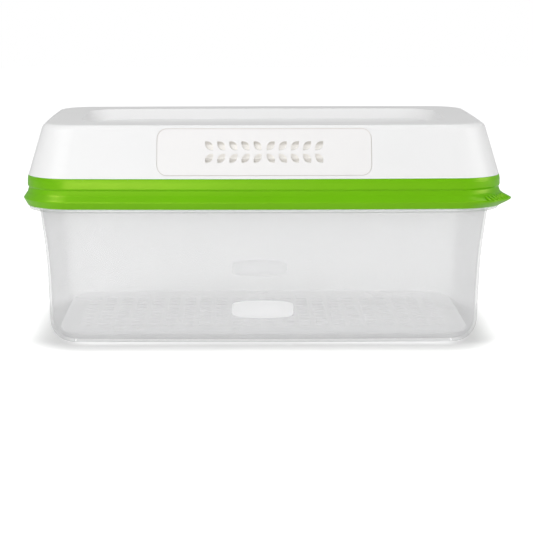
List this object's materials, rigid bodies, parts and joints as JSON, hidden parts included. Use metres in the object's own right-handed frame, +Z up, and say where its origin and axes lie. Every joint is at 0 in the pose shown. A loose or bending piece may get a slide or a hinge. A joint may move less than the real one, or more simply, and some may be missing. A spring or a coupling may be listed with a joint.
{
  "type": "produce keeper",
  "caption": "Rectangular food storage tub with a lift-out crisper tray, a domed lid on a soft skirt, and a leaf-pierced vent cover over a filter sheet.",
  "frame": {"origin": "middle of the underside of the tub's base", "axes": "+X along the length towards the corner with the lift tab, +Z up out of the tub, the vented front faces -Y"},
  "size_m": [0.3376, 0.1926, 0.1543],
  "materials": {
    "clear_plastic": "frosted",
    "tray_plastic": "satin",
    "white_plastic": "satin",
    "cover_plastic": "satin",
    "green_rubber": "satin",
    "filter_sheet": "matte"
  },
  "bodies": {
    "tub": {"tub": "clear_plastic"},
    "tray": {"crisp_tray": "tray_plastic"},
    "lid": {"lid_dome": "white_plastic", "lid_skirt": "green_rubber", "vent_filter": "filter_sheet", "vent_frame": "white_plastic"},
    "vent": {"vent_cover": "cover_plastic"}
  },
  "joints": [
    {"name": "lid_lift", "type": "slide", "parent": "tub", "child": "lid", "axis": [0, 0, 1], "range_m": [0, 0.15]},
    {"name": "tray_lift", "type": "slide", "parent": "tub", "child": "tray", "axis": [0, 0, 1], "range_m": [0, 0.1]},
    {"name": "vent_cover_release", "type": "slide", "parent": "lid", "child": "vent", "axis": [0, -1, 0], "range_m": [0, 0.02]}
  ]
}
